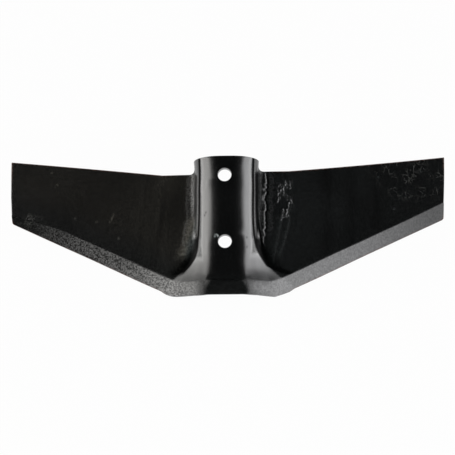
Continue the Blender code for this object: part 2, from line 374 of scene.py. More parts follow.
def row_places():
    """How far up from the bevel to the top the rows lie, as shares, even beside each hole."""
    top = NECK_LENGTH - EDGE_ROUND
    beside_holes = [hole + step for hole in HOLE_RISES for step in (-BLOCK_HALF, BLOCK_HALF)]
    knots = [NOSE_CREASE, *beside_holes, top]
    counts = (ROWS_TO_LOWER_BLOCK, BLOCK_ROWS, ROWS_BETWEEN_BLOCKS, BLOCK_ROWS, ROWS_TO_TOP)
    rises = [np.linspace(a, b, n + 1)[1:] for a, b, n in zip(knots, knots[1:], counts)]
    return (np.concatenate(rises) - NOSE_CREASE) / (top - NOSE_CREASE)


def half_grid(outline, reach):
    """Points of one half of the blank, as (column, row) arrays of along and rise."""
    base = column_places(outline, reach)
    lean = smooth(base, ARCH_END, outline.tip_low[0])
    middle = base + lean * (outline.tip_bevel - outline.tip_low[0])
    upper = base + lean * (outline.tip_high[0] - outline.tip_low[0])
    low = np.stack([base, outline.bottom(base)], -1)
    bevel = np.stack([middle, outline.bevel_top(middle)], -1)
    high = np.stack([upper, outline.top(upper)], -1)

    rows = [blend(low, bevel, share) for share in np.linspace(0, 1, BEVEL_ROWS + 1)]
    shoulder = high - np.array([0, reach])
    rows += [blend(bevel, shoulder, share) for share in row_places()]
    rows += [high - np.array([0, reach * share]) for share in round_shares()]
    return np.stack(rows, 1)


def round_corner(points, corner, before, after, radius):
    """Draws the points near a corner in, so that the corner becomes an arc."""
    before = before / np.linalg.norm(before)
    after = after / np.linalg.norm(after)
    half_angle = math.acos(float(before @ after)) / 2
    reach = radius / math.tan(half_angle)
    centre = corner + (before + after) / np.linalg.norm(before + after) * radius / math.sin(half_angle)
    inner = corner + reach * (before + after)
    p, q = np.linalg.solve(np.stack([before, after], -1), (points - corner).reshape(-1, 2).T)
    near = (p < reach) & (q < reach)
    level = np.maximum(1 - p / reach, 1 - q / reach)
    outer_p, outer_q = (1 - (1 - v / reach) / np.maximum(level, 1e-9) for v in (p, q))
    turn = (1 + outer_q - outer_p) / 2
    first = corner + before * reach - centre
    last = corner + after * reach - centre
    start = math.atan2(first[1], first[0])
    sweep = (math.atan2(last[1], last[0]) - start + math.pi) % (2 * math.pi) - math.pi
    angle = start + turn * sweep
    arc = centre + radius * np.stack([np.cos(angle), np.sin(angle)], -1)
    moved = inner + level[:, None] * (arc - inner)
    flat = points.reshape(-1, 2).copy()
    flat[near] = moved[near]
    return flat.reshape(points.shape)


def blank_grid(reach):
    """The whole blank's grid, with the height of its ground and rounded face at each point."""
    halves = []
    for side, outline in OUTLINES.items():
        points = half_grid(outline, reach)
        from_side = np.abs(points[:, :, 0] - points[-1:, :, 0])
        from_top = np.abs(points[:, :, 1] - points[:, -1:, 1])
        spread = np.hypot(np.clip(reach - from_side, 0, None), np.clip(reach - from_top, 0, None))
        rounding = reach - np.sqrt(reach**2 - np.clip(spread, 0, reach) ** 2)
        height = np.minimum(outline.ground(points[:, :, 0], points[:, :, 1]), -rounding)
        up_the_tip = outline.tip_high - outline.tip_low
        points = round_corner(points, outline.tip_low, -outline.edge_line, up_the_tip, TIP_CORNER)
        points[:, :, 0] *= side
        halves.append((points, height))
    (left, left_height), (right, right_height) = halves
    points = np.concatenate([left[:0:-1], right])
    return points, np.concatenate([left_height[:0:-1], right_height])


# The mesh


class Plate:
    """Vertices and faces of the share, with each vertex's place on the flat blank."""

    def __init__(self):
        self.blank = []
        self.count = 0
        self.faces = []

    def add(self, along, rise, height, outer):
        """Adds points, and returns their numbers in an array of the same form."""
        spots = np.stack(np.broadcast_arrays(along, rise, height, float(outer)), -1)
        self.blank.append(spots.reshape(-1, 4))
        first = self.count
        self.count += spots.size // 4
        return np.arange(first, self.count).reshape(spots.shape[:-1])

    def sheet(self, grid, skip, flip):
        """Faces over a grid of vertex numbers, leaving out the cells that skip marks."""
        corners = np.stack([grid[:-1, :-1], grid[1:, :-1], grid[1:, 1:], grid[:-1, 1:]], -1)[~skip]
        if flip:
            corners = corners[:, ::-1]
        self.faces += corners.tolist()

    def band(self, first, second):
        """Faces between two closed loops of as many vertices."""
        self.faces += np.stack([first, np.roll(first, -1), np.roll(second, -1), second], -1).tolist()

    def taper(self, fine, coarse):
        """Faces from a closed loop to one with half as many vertices."""
        start, middle, end = fine[::2], fine[1::2], np.roll(fine[::2], -1)
        self.faces += np.stack([start, middle, end, np.roll(coarse, -1), coarse], -1).tolist()


def loop_round(grid, columns, rows):
    """The vertices round a block of the grid, anticlockwise from its lower left corner."""
    (left, right), (low, high) = columns, rows
    lower, upper = grid[left:right, low], grid[right:left:-1, high]
    return np.concatenate([lower, grid[right, low:high], upper, grid[left, high:low:-1]])


def rim_loop(grid):
    return loop_round(grid, (0, grid.shape[0] - 1), (0, grid.shape[1] - 1))


def unpressed(target, height):
    """The blank's points that the press puts at these places on the share."""
    guess = target.copy()
    for _ in range(CORRECTIONS):
        guess += target - pressed(guess[:, 0], guess[:, 1], np.full(len(guess), height))[:, :2]
    return guess


def hole_side(plate, square, corners, centre, height, round_over):
    """The face round a hole, from a block's rim to the hole's. Returns the hole's rim loop."""
    angle = np.arctan2(corners[:, 1] - centre, corners[:, 0])
    direction = np.stack([np.cos(angle), np.sin(angle)], -1)
    middle = np.array([0.0, centre])
    rim = unpressed(middle + direction * (HOLE_DIAMETER / 2 + round_over), height)
    outer = square
    for ring in range(1, HOLE_RINGS + 1):
        share = ring / HOLE_RINGS
        spot = blend(corners, rim, 1 - (1 - share) ** 1.5)
        inner = plate.add(spot[:, 0], spot[:, 1], height, height == 0)
        plate.band(*((outer, inner) if height == 0 else (inner, outer)))
        outer = inner
    return outer, direction


def wall_steps():
    """Heights down a hole's wall, with how far its rounded lip stands back at each."""
    turns = np.linspace(0, math.pi / 2, HOLE_ROUND_STEPS + 1)[1:]
    lip = [(-HOLE_ROUND * (1 - math.cos(turn)), HOLE_ROUND * (1 - math.sin(turn))) for turn in turns]
    depths = np.linspace(-HOLE_ROUND, BACK_CHAMFER - THICKNESS, HOLE_WALL_STEPS + 1)[1:]
    return lip + [(depth, 0.0) for depth in depths]


def hole_block(grid, row, coarseness):
    """A hole's first and last columns and rows, in a grid of every vertex or every second one."""
    middle = (grid.shape[0] - 1) // 2
    reach = BLOCK_COLUMNS // coarseness
    return (middle - reach, middle + reach), (row // coarseness, (row + BLOCK_ROWS) // coarseness)


def drill(plate, front, front_points, back, back_points, row, centre):
    """Lines the hole whose block starts at this row: its two faces and its wall."""
    block = hole_block(front, row, 1)
    square, corners = loop_round(front, *block), loop_round(front_points, *block)
    loop, direction = hole_side(plate, square, corners, centre, 0.0, HOLE_ROUND)
    block = hole_block(back, row, 2)
    square, corners = loop_round(back, *block), loop_round(back_points, *block)
    back_loop, _ = hole_side(plate, square, corners, centre, -THICKNESS, BACK_CHAMFER)

    wall = np.array([0.0, centre]) + direction * HOLE_DIAMETER / 2
    for height, out in wall_steps():
        spot = unpressed(wall + direction * out, height)
        inner = plate.add(spot[:, 0], spot[:, 1], height, False)
        plate.band(loop, inner)
        loop = inner
    plate.taper(loop, back_loop)


def hole_cells(grid, coarseness):
    taken = np.zeros((grid.shape[0] - 1, grid.shape[1] - 1), bool)
    for row in HOLE_ROWS:
        (left, right), (low, high) = hole_block(grid, row, coarseness)
        taken[left:right, low:high] = True
    return taken


def share_plate():
    """The share's vertices on the blank, and its faces."""
    plate = Plate()
    points, height = blank_grid(EDGE_ROUND)
    front = plate.add(points[:, :, 0], points[:, :, 1], height, True)
    back_points, _ = blank_grid(BACK_REACH)
    back_points = back_points[::2, ::2]
    back = plate.add(back_points[:, :, 0], back_points[:, :, 1], -THICKNESS, False)
    plate.sheet(front, hole_cells(front, 1), False)
    plate.sheet(back, hole_cells(back, 2), True)

    rim_points = rim_loop(points)
    lower = plate.add(rim_points[:, 0], rim_points[:, 1], BACK_CHAMFER - THICKNESS, False)
    plate.band(lower, rim_loop(front))
    plate.taper(lower[::-1], rim_loop(back)[::-1])

    for row, centre in zip(HOLE_ROWS, HOLE_RISES):
        drill(plate, front, points, back, back_points, row, centre)
    return np.concatenate(plate.blank), plate.faces


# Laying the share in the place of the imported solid


def edge_pitch():
    """The pitch that lays the cutting edges level."""
    outline = OUTLINES[1]
    inner = blend(outline.nose, outline.tip_low, PAST_FLARE)
    ends = np.stack([inner, outline.tip_low])
    start, end = pressed(ends[:, 0], ends[:, 1], np.full(2, -THICKNESS))
    return math.atan2(start[2] - end[2], end[1] - start[1])


# The marks of forging, welding and wear, and painted shade, laid out on the flat blank in millimetres. Each
# line is a list of rises and how far out it lies there on each side. A stretch is two rises and a softness.
WAVES_SIZE = 26
WAVES_HEIGHT = 0.05
GROOVE_RISES = (45, 51, 59, 68.5, 83, 102.5, 122, 134)
GROOVE_LINE = {
    -1: (36.8, 32.9, 30.5, 29.9, 29.4, 28.8, 28.3, 28.0),
    1: (38.5, 34.8, 32.6, 31.6, 31.3, 31.6, 31.6, 31.6),
}
GROOVE_BEGINS = (46, 60)
GROOVE_DEPTH = 0.2
FLARE_RISES = (17.4, 21.3, 28.9, 36.3, 44, 51.5)
FLARE_EDGE = {-1: (53.8, 45, 37.9, 32.8, 30, 28.5), 1: (66, 61.6, 43.6, 39.3, 34.5, 31.1)}
FLARE_STRETCH = (21, 58, 3)
RIDGE_RISES = (52.5, 60, 69.5, 84, 103.5, 117, 126)
RIDGE_LINE = {
    -1: (41.5, 38.0, 34.8, 33.3, 32.8, 32.8, 32.8),
    1: (45.4, 39.5, 36.2, 34.6, 34.3, 34.3, 34.3),
}
RIDGE_STRETCH = (60, 126, 7)
RIDGE_HEIGHT = 0.16
RIDGE_WIDTH = 1.5
VALLEY_DEPTH = 0.12
# How strongly painted shade darkens the valley beside the bead, on each side
VALLEY_PAINTED_SHADE = {-1: 0.9, 1: 1.0}
BEAD_RISES = (48, 57, 75.5, 96, 117, 124)
BEAD_INNER = {
    -1: (46.5, 44.0, 42.8, 42.8, 43.2, 43.5),
    1: (45.5, 43.6, 42.2, 42.6, 44.0, 44.5),
}
BEAD_OUTER = {
    -1: (50.5, 49.9, 49.0, 50.6, 53.0, 54.0),
    1: (46.2, 46.8, 49.0, 52.0, 55.3, 56.5),
}
BEAD_STRETCH = (50, 125, 4)
BEAD_HEIGHT = {-1: 0.2, 1: 0.6}
BEAD_SOFT = {-1: 1.4, 1: 0.7}
BEAD_RAGGED = 1.1
GRAIN = {-1: 0.9, 1: 0.6}
GRAIN_SOFT = {-1: 2.8, 1: 1.2}
FURROW_STRETCH = (62, 122, 4)
SPATTER_STRETCH = (64, 124, 5)
PATCH_OUT = (66, 82, 3)
PATCH_STRETCH = (76, 117, 5)
PATCH_LEAN = 0.14
FLAKE_HEIGHT = 0.8
CREASES = (((65.9, 79.0), (59.3, 55.7), (51.8, 33.3)), ((73.8, 78.3), (67.7, 59.9), (59.7, 40.6)))
CREASE_HEIGHT = 0.3
PITS = ((22.0, 45.4), (22.0, 54.8), (-21.0, 77.0), (-19.5, 79.5))
PIT_WIDTH = 0.8
CHIP = (-8.1, 55.4)
CHIP_DEPTH = 0.35
CHIP_LIP = 0.12

# The noises on the blank, each with its own seed, to which the side is added for the bead
NOISE_CELLS = 128
OCTAVES = 3
WAVES_SEED = 11
RAGGED_SEED = 21
FINE_RAGGED_SEED = 23
BEAD_SEED = 31
FLAKES_SEED = 41
PATCH_SEED = 43
STREAKS_SEED = 51
TONE_SEED = 53


def noise(along, rise, size, seed):
    """Smooth noise from -1 to 1 over the blank, with bumps of about this size."""
    cells = NOISE_CELLS
    table = np.random.default_rng(seed).uniform(-1, 1, (cells, cells))
    x, y = along / size, rise / size
    i, j = np.floor(x).astype(int), np.floor(y).astype(int)
    u, v = smooth(x - i, 0, 1), smooth(y - j, 0, 1)
    i, next_i, j, next_j = i % cells, (i + 1) % cells, j % cells, (j + 1) % cells
    low, high = (blend(table[i, row], table[next_i, row], u) for row in (j, next_j))
    return blend(low, high, v)


def fractal(along, rise, size, seed):
    """Noise with finer noise on it."""
    parts = [noise(along, rise, size / 2**k, seed + k) / 2**k for k in range(OCTAVES)]
    return sum(parts) / sum(0.5**k for k in range(OCTAVES))


def bump(distance, width):
    """A soft ridge profile."""
    return np.exp(-((distance / width) ** 2))


def between(value, start, end, soft):
    """1 between two limits, falling softly to 0 outside them."""
    return smooth(value, start - soft, start + soft) * (1 - smooth(value, end - soft, end + soft))


def point_distance(along, rise, point):
    return np.hypot(along - point[0], rise - point[1])


def line_distance(along, rise, corners):
    """Distance from a line of straight pieces."""
    nearest = np.full(along.shape, np.inf)
    for (x0, y0), (x1, y1) in zip(corners, corners[1:]):
        dx, dy = x1 - x0, y1 - y0
        share = np.clip(((along - x0) * dx + (rise - y0) * dy) / (dx * dx + dy * dy), 0, 1)
        nearest = np.minimum(nearest, np.hypot(along - x0 - share * dx, rise - y0 - share * dy))
    return nearest


class Marks:
    """Relief in millimetres on the outer face, and masks for the enamel, at points of the blank.

    Here is true on the side in hand, and out is how far points lie from the centre line.
    """

    def __init__(self, along, rise):
        self.along = along
        self.rise = rise
        self.relief = WAVES_HEIGHT * fractal(along, rise, WAVES_SIZE, WAVES_SEED)
        self.grain = np.zeros(along.shape)
        # This mask holds painted shade in the groove, the valleys, beside the flare and on the right bead,
        # and a few matt pits.
        self.shade_and_matt = np.zeros(along.shape)
        self.brushed = np.zeros(along.shape)
        for side in (-1, 1):
            for mark in (self.groove, self.flare_shadow, self.ridge, self.bead):
                mark(side, along * side > 0, along * side)
        for mark in (self.rough_patch, self.creases, self.pits, self.chip):
            mark()

    def groove(self, side, here, out):
        """The groove along the wing's root, with a matt strip of painted shade in it."""
        across = out - np.interp(self.rise, GROOVE_RISES, GROOVE_LINE[side])
        begun = smooth(self.rise, *GROOVE_BEGINS)
        falling, rising = smooth(across, -1.8, 0.4), 1 - smooth(across, 1.0, 9)
        self.relief -= GROOVE_DEPTH * here * begun * falling * rising
        self.shade_and_matt += 1.05 * here * begun * between(across, -2.1, 1.9, 0.5)

    def flare_shadow(self, side, here, out):
        """The painted shadow outside the flare's edge, a dull, darker stretch."""
        beyond = out - np.interp(self.rise, FLARE_RISES, FLARE_EDGE[side])
        shadow = smooth(beyond, -0.4, 2.2) * (1 - smooth(beyond, 9, 24))
        self.shade_and_matt += here * shadow * between(self.rise, *FLARE_STRETCH)

    def ridge(self, side, here, out):
        """The low ridge beside the groove, and the valley between it and the bead, darkened with painted
        shade.
        """
        across = out - np.interp(self.rise, RIDGE_RISES, RIDGE_LINE[side])
        here = here * between(self.rise, *RIDGE_STRETCH)
        self.relief += here * RIDGE_HEIGHT * bump(across, RIDGE_WIDTH)
        bead_start = np.interp(self.rise, BEAD_RISES, BEAD_INNER[side])
        valley = smooth(across, 1.2, 2.4) * (1 - smooth(out - bead_start, -1.2, 0.4))
        self.relief -= VALLEY_DEPTH * here * valley
        self.shade_and_matt += VALLEY_PAINTED_SHADE[side] * here * valley

    def bead(self, side, here, out):
        """The rough weld bead, ragged outside. The right one has matt strokes along it, and is darkened with
        painted shade.
        """
        rise = self.rise
        start = np.interp(rise, BEAD_RISES, BEAD_INNER[side])
        ragged = noise(self.along * 0, rise, 2.6, RAGGED_SEED + side)
        ragged = ragged + 0.6 * noise(self.along * 0, rise, 1.3, FINE_RAGGED_SEED + side)
        end = np.interp(rise, BEAD_RISES, BEAD_OUTER[side]) + BEAD_RAGGED * ragged
        lengthwise = between(rise, *BEAD_STRETCH)
        bead = here * lengthwise * between(out, start, end, BEAD_SOFT[side])
        rough = fractal(self.along, rise, 2.4, BEAD_SEED + side)
        self.relief += BEAD_HEIGHT[side] * bead * (0.8 + 0.5 * rough)
        self.grain += GRAIN[side] * here * lengthwise * between(out, start, end + 1, GRAIN_SOFT[side])
        if side < 0:
            self.shade_and_matt += 0.3 * bead
        else:
            self.beside_bead(here, out - end, rough)
            combed = here * lengthwise * between(out, start - 0.6, end - 1.8, 0.8)
            self.brushed += combed
            self.shade_and_matt += 0.88 * combed

    def beside_bead(self, here, beyond, rough):
        """The furrow along the right bead, darkened with painted shade, and a grainy strip outside it."""
        furrow = bump(beyond - 1.6, 1.2) * between(self.rise, *FURROW_STRETCH)
        self.relief -= here * furrow * (0.26 + 0.2 * rough)
        self.shade_and_matt += here * furrow
        spatter = here * between(beyond, 2.5, 8, 1.5) * between(self.rise, *SPATTER_STRETCH)
        self.relief += 0.12 * spatter * rough
        self.grain += 0.7 * spatter

    def rough_patch(self):
        """Raised flakes on the right wing."""
        along, rise = self.along, self.rise
        lean = (rise - PATCH_STRETCH[1]) * PATCH_LEAN
        patch = between(along - lean, *PATCH_OUT) * between(rise, *PATCH_STRETCH)
        patch *= smooth(noise(along, rise, 7, PATCH_SEED), -0.5, 0.3)
        flakes = fractal(along, rise, 3.2, FLAKES_SEED)
        self.relief += FLAKE_HEIGHT * patch * np.clip(1 - 4 * np.abs(flakes), 0, 1)
        self.grain += 0.7 * patch

    def creases(self):
        """The two raised creases on the right wing's root."""
        for corners in CREASES:
            self.relief += CREASE_HEIGHT * bump(line_distance(self.along, self.rise, corners), 1.7)

    def pits(self):
        """The small matt spots on the neck."""
        for pit in PITS:
            self.shade_and_matt += bump(point_distance(self.along, self.rise, pit), PIT_WIDTH)

    def chip(self):
        """The chip on the neck, with a raised lip round it."""
        ring = point_distance(self.along, self.rise, CHIP)
        self.relief += CHIP_LIP * bump(ring - 1.7, 0.7) - CHIP_DEPTH * bump(ring, 1.2)


# The share itself

BEVEL_SEEN = (0.00004, 0.0004)
blank, faces = share_plate()
outer = blank[:, 3]
on_face_bevel = smooth(-blank[:, 2], *BEVEL_SEEN) * outer
sound = (1 - on_face_bevel) * outer
marks = Marks(blank[:, 0] / MILLI, blank[:, 1] / MILLI)
placed = pressed(blank[:, 0], blank[:, 1], blank[:, 2] + marks.relief * sound * MILLI)
to_world = Matrix.Rotation(edge_pitch(), 4, "X")
placed = placed @ np.array(to_world.to_3x3()).T
low, high = (np.array(corner) for corner in cad_box)
middle = (low + high) / 2 - (placed.min(0) + placed.max(0)) / 2
place = Vector((0, middle[1], low[2] - placed[:, 2].min()))
placed += place
to_world = Matrix.Translation(place) @ to_world

mesh = bpy.data.meshes.new("share_body")
mesh.from_pydata(placed.tolist(), [], faces)
mesh.update()
share = new_object("share_body", mesh)
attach(share, "root")
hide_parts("share")

# The photo's camera, as fitted to the outline in the pressing's frame, its focal length in pixels
CAMERA_PIVOT = (0.0, 0.068, -0.029)
CAMERA_LEAN = math.radians(-11)
CAMERA_YAW = math.radians(-1.781)
CAMERA_ROLL = math.radians(0.625)
CAMERA_OFFSET = (0.001681, 0.001151, 2.0)
CAMERA_FOCAL = 2065.896
PHOTO_WIDTH = 455
SENSOR_WIDTH = 36.0
CLIP_END = 50

view_turn = Matrix.Rotation(CAMERA_ROLL, 3, "Z") @ Matrix.Rotation(CAMERA_YAW, 3, "Y")
view_turn = view_turn @ Matrix.Rotation(CAMERA_LEAN, 3, "X")
camera_data = bpy.data.cameras.new("camera")
camera_data.sensor_width = SENSOR_WIDTH
camera_data.lens = CAMERA_FOCAL / PHOTO_WIDTH * SENSOR_WIDTH
camera_data.clip_end = CLIP_END
camera = new_object("camera", camera_data)
spot = Vector(CAMERA_PIVOT) + view_turn.transposed() @ Vector(CAMERA_OFFSET)
camera.matrix_world = to_world @ Matrix.Translation(spot) @ view_turn.transposed().to_4x4()
bpy.context.scene.camera = camera

# The enamel's tone, shine and wear over the blank, with painted light and shade in the tone. Places on it
# are in millimetres.
# Painted light: the neck is darker than the wings, and the left wing a little lighter than the right, for
# how differently they reflect
NECK_TONE = 0.0030
NECK_FOOT_TONE = 0.0048
WING_TONE = {-1: 0.0108, 1: 0.0088}
LOW_DARKER = {-1: 0.32, 1: 0.12}
TIP_DARKER = {-1: 0.35, 1: 0.5}
STREAKS_AT = -78
BANDS_AT = (116, 141, 167)
BANDS_LEAN = 0.13
# A painted glow by the left root, along this line
PAINTED_GLOW_LINE = ((43.5, 72), (44.0, 60), (45.5, 50), (48.5, 44))
FLECKS = ((-197, 134), (-189, 121), (-165, 85), (-142, 80), (-117, 62), (216, 132), (171, 124), (182, 92))
SCRATCH = ((-127.5, 78.5), (-125, 86))
FLARE_DULLING = {-1: 0.55, 1: 0.30}
POLISH = {-1: 0.65, 1: 0.5}
POLISHED_OUT = {-1: (25.6, 36, 1), 1: (28.2, 40, 1)}
POLISHED_STRETCH = (39.5, 55, 1.5)
LAND_DEPTH = (5.6, 5.9)
RIM_WIDTH = (0.5, 1.3)

# How brightly the ground bevels shine from the nose to the tips
BEVEL_OUT = (10, 16, 21, 26, 31, 38, 60, 78, 92, 112, 145, 176, 192, 207, 222)
BEVEL_SHINE = {
    -1: (0.9, 0.45, 0.2, 0.42, 0.85, 1.12, 1.0, 0.85, 0.6, 0.42, 0.3, 0.18, 0.13, 0.05, 0.02),
    1: (0.9, 0.5, 0.24, 0.55, 0.85, 1.1, 1.12, 1.08, 1.03, 0.97, 0.85, 0.66, 0.57, 0.5, 0.44),
}


def from_rim(side, out, rise):
    """How far points lie inside the rim of the wing's top edge and tip."""
    outline = OUTLINES[side]
    below_top = outline.top(out * MILLI) / MILLI - rise
    up_the_tip = (rise * MILLI - outline.tip_low[1]) / (outline.tip_high[1] - outline.tip_low[1])
    inside_tip = blend(outline.tip_low[0], outline.tip_high[0], up_the_tip) / MILLI - out
    return np.minimum(below_top, inside_tip)


class Places:
    """Where the vertices lie on the share."""

    def __init__(self, along, rise, height):
        self.along = along
        self.rise = rise
        self.height = height
        self.out = np.abs(along)
        self.left = along < 0
        self.leftness = smooth(-along, -20, 45)
        root = np.interp(rise, RIDGE_RISES, RIDGE_LINE[-1]) + 6
        self.wing = smooth(self.out, root - 6, root + 4)
        tops = {side: outline.bevel_top(self.out * MILLI) for side, outline in OUTLINES.items()}
        self.above_bevel = rise - by_side(along, tops) / MILLI
        self.low_down = (1 - smooth(self.above_bevel, 2, 34)) * self.wing
        low_strip = 1 - smooth(self.above_bevel, 0.1, 0.5)
        dull_tip = self.left * smooth(self.out, 100, 130) * low_strip * outer
        self.on_bevel = np.maximum(on_face_bevel, dull_tip)
        self.off_bevel = 1 - self.on_bevel


def smudges(at):
    """What lightens the enamel: a painted glow by the left root, a painted highlight on the chip's upper
    edge, and flecks.
    """
    painted_glow = at.left * bump(line_distance(at.out, at.rise, PAINTED_GLOW_LINE), 5.2)
    ring = point_distance(at.along, at.rise, CHIP)
    # A painted highlight on the upper half of the chip's edge
    chip_highlight = bump(ring - 1.6, 0.6) * smooth(at.rise - CHIP[1], -1.4, 0.0)
    flecked = bump(line_distance(at.along, at.rise, SCRATCH), 0.9)
    for fleck in FLECKS:
        flecked += bump(point_distance(at.along, at.rise, fleck), 1.1)
    return 0.075 * painted_glow, 0.4 * chip_highlight, 0.035 * flecked


def enamel_tone(at, shade_and_matt):
    """How light the enamel is, with painted shade, a painted glow and a painted highlight in it."""
    along, rise = at.along, at.rise
    tone = blend(NECK_TONE, by_side(along, WING_TONE), at.wing)
    tone = tone + NECK_FOOT_TONE * (1 - at.wing) * (1 - smooth(rise, 4, 26))
    tone = tone * (1 - by_side(along, LOW_DARKER) * at.low_down)
    streaks = np.where(at.left, bump(along - STREAKS_AT, 22), 0)
    streaks = streaks * noise(along, rise * 0.12, 5.0, STREAKS_SEED)
    bands = sum(bump(along - centre + (110 - rise) * BANDS_LEAN, 6) for centre in BANDS_AT)
    scored = sum(bump(line_distance(along, rise, corners), 1.8) for corners in CREASES)
    uneven = 1 + 0.45 * streaks + 0.9 * scored - 0.35 * bands + 0.25 * noise(along, rise, 30, TONE_SEED)
    tone = tone * (1 - by_side(along, TIP_DARKER) * smooth(at.out, 55, 225)) * uneven
    # Painted shade: the mask darkens the enamel's colour.
    tone = tone * (1 - 0.65 * shade_and_matt * at.off_bevel)
    for smudge in smudges(at):
        tone = tone + smudge
    return np.clip(tone, 0.001, 1)


def roughness(at, grain):
    """How rough the enamel is: more on the bevels, on the left and where grainy."""
    bevel = blend(0.20, blend(0.30, 0.40, at.leftness), smooth(at.out, 10, 40))
    rough = blend(blend(0.19, 0.22, at.wing), bevel, at.on_bevel)
    return blend(rough, 0.5, grain * 0.6 * sound)


def flare_shine(at):
    """How brightly the neck and the flare shine."""
    dulled = by_side(at.along, FLARE_DULLING)
    shine = 1.1 - dulled * (1 - smooth(at.rise, 16, 46)) * smooth(at.out, 8, 20)
    beside_crease = between(at.along, 18, 46, 4) * (1 - smooth(at.above_bevel, 0, 9))
    polished = {side: POLISH[side] * between(at.out, *POLISHED_OUT[side]) for side in (-1, 1)}
    shine = shine * (1 + 1.7 * beside_crease)
    return shine * (1 + by_side(at.along, polished) * between(at.rise, *POLISHED_STRETCH))


def enamel_shine(at, shade_and_matt):
    """How brightly it shines, with a dark line along the nose's crease."""
    bevel = {side: np.interp(at.out, BEVEL_OUT, BEVEL_SHINE[side]) for side in (-1, 1)}
    shine = blend(blend(flare_shine(at), 0.7, at.wing), by_side(at.along, bevel), at.on_bevel)
    # The painted shade also takes the shine away.
    shine = shine * (1 - 0.985 * shade_and_matt * at.off_bevel)
    dark_line = 0.9 * bump(at.rise - NOSE_CREASE / MILLI, 1.3) * (1 - smooth(at.out, 12, 19))
    return np.where(outer > 0, shine * (1 - dark_line), 0.6)


def rust(at):
    """Where the steel shows brown: on the cutting edges' blunt land and along the wings' rim."""
    inside = by_side(at.along, {side: from_rim(side, at.out, at.rise) for side in (-1, 1)})
    on_rim = np.maximum(smooth(-at.height, *LAND_DEPTH), 1 - smooth(inside, *RIM_WIDTH))
    return on_rim * smooth(at.out, 60, 75) * outer


def crackle(at):
    """Where the enamel is crazed: high on the right tip, and above the bevel on the left one."""
    leaning = between(at.along + 0.7 * (at.rise - 120), 168, 250, 9)
    right = leaning * between(at.rise, 104, 147, 8) * at.off_bevel
    left = at.left * smooth(at.out, 182, 204) * (1 - smooth(at.above_bevel, 3, 11)) * outer
    return (right + left) * outer


def masks():
    at = Places(*(blank[:, axis] / MILLI for axis in range(3)))
    grain, shade_and_matt, brushed = (np.clip(mask, 0, 1) for mask in (marks.grain, marks.shade_and_matt, marks.brushed))
    bevel_grain = blend(0.2, 0.7, smooth(-at.along, 20, 60)) + 0.3 * smooth(-at.along, 60, 130)
    return {
        "tone": enamel_tone(at, shade_and_matt),
        "warm": np.where(at.left, at.wing * (1 - 0.8 * at.low_down), 0.0),
        "rough": roughness(at, grain),
        "shine": enamel_shine(at, shade_and_matt),
        "grain": np.clip(blend(grain, bevel_grain, at.on_bevel), 0, 1) * outer,
        "brushed": np.clip(blend(brushed, 0.5 * (1 - at.leftness), at.on_bevel), 0, 1) * outer,
        "rust": rust(at),
        "crackle": crackle(at),
    }


attribute = mesh.attributes.new("blank", "FLOAT_VECTOR", "POINT")
attribute.data.foreach_set("vector", np.ascontiguousarray(blank[:, :3] / MILLI, np.float32).ravel())
for name, values in masks().items():
    attribute = mesh.attributes.new(name, "FLOAT", "POINT")
    attribute.data.foreach_set("value", np.asarray(values, np.float32))


class Nodes:
    """Short ways to add and link a material's nodes."""

    def __init__(self, name):
        self.material = bpy.data.materials.new(name)
        self.material.use_nodes = True
        self.tree = self.material.node_tree
        self.shader = self.tree.nodes["Principled BSDF"]

    def new(self, kind):
        return self.tree.nodes.new(kind)

    def feed(self, socket, value):
        """Sets a socket to a number, or links an output to it."""
        if isinstance(value, bpy.types.NodeSocket):
            self.tree.links.new(value, socket)
        else:
            socket.default_value = value

    def mask(self, name):
        node = self.new("ShaderNodeAttribute")
        node.attribute_name = name
        return node.outputs["Fac"]

    def place(self, stretch):
        """The blank's coordinates in millimetres, stretched."""
        node = self.new("ShaderNodeAttribute")
        node.attribute_name = "blank"
        return self.vector("MULTIPLY", node.outputs["Vector"], stretch)

    def join(self, kind, operation, first, second):
        """The result of a node of this kind that works on two values."""
        node = self.new(kind)
        node.operation = operation
        self.feed(node.inputs[0], first)
        self.feed(node.inputs[1], second)
        return node.outputs[0]

    def vector(self, operation, first, second):
        return self.join("ShaderNodeVectorMath", operation, first, second)

    def plus(self, first, second):
        return self.join("ShaderNodeMath", "ADD", first, second)

    def minus(self, first, second):
        return self.join("ShaderNodeMath", "SUBTRACT", first, second)

    def times(self, first, second):
        return self.join("ShaderNodeMath", "MULTIPLY", first, second)

    def clamped(self, total):
        """A sum, kept between 0 and 1."""
        total.node.use_clamp = True
        return total

    def noise(self, size, detail, stretch=(1, 1, 1)):
        """Noise around 0.5 with bumps of about this size in millimetres."""
        node = self.new("ShaderNodeTexNoise")
        self.feed(node.inputs["Vector"], self.place(stretch))
        node.inputs["Scale"].default_value = 1 / size
        node.inputs["Detail"].default_value = detail
        return node.outputs["Fac"]

    def step(self, value, start, end):
        """A soft step from 0 at start to 1 at end."""
        node = self.new("ShaderNodeMapRange")
        node.interpolation_type = "SMOOTHSTEP"
        self.feed(node.inputs["Value"], value)
        node.inputs["From Min"].default_value = start
        node.inputs["From Max"].default_value = end
        return node.outputs["Result"]

    def colour(self, amount, first, second):
        """The first colour where amount is 0, and the second where it is 1."""
        node = self.new("ShaderNodeMix")
        node.data_type = "RGBA"
        self.feed(node.inputs["Factor"], amount)
        self.feed(node.inputs["A"], first)
        self.feed(node.inputs["B"], second)
        return node.outputs["Result"]


# The enamel's index and colours. The tints colour the grey that the tone mask gives.
COOL_TINT = (0.88, 1.0, 0.99, 1)
WARM_TINT = (1.07, 1.02, 0.86, 1)
CRACK_COLOUR = (0.038, 0.039, 0.036, 1)
WORN_COLOUR = (0.10, 0.046, 0.032, 1)
ENAMEL_INDEX = 1.8

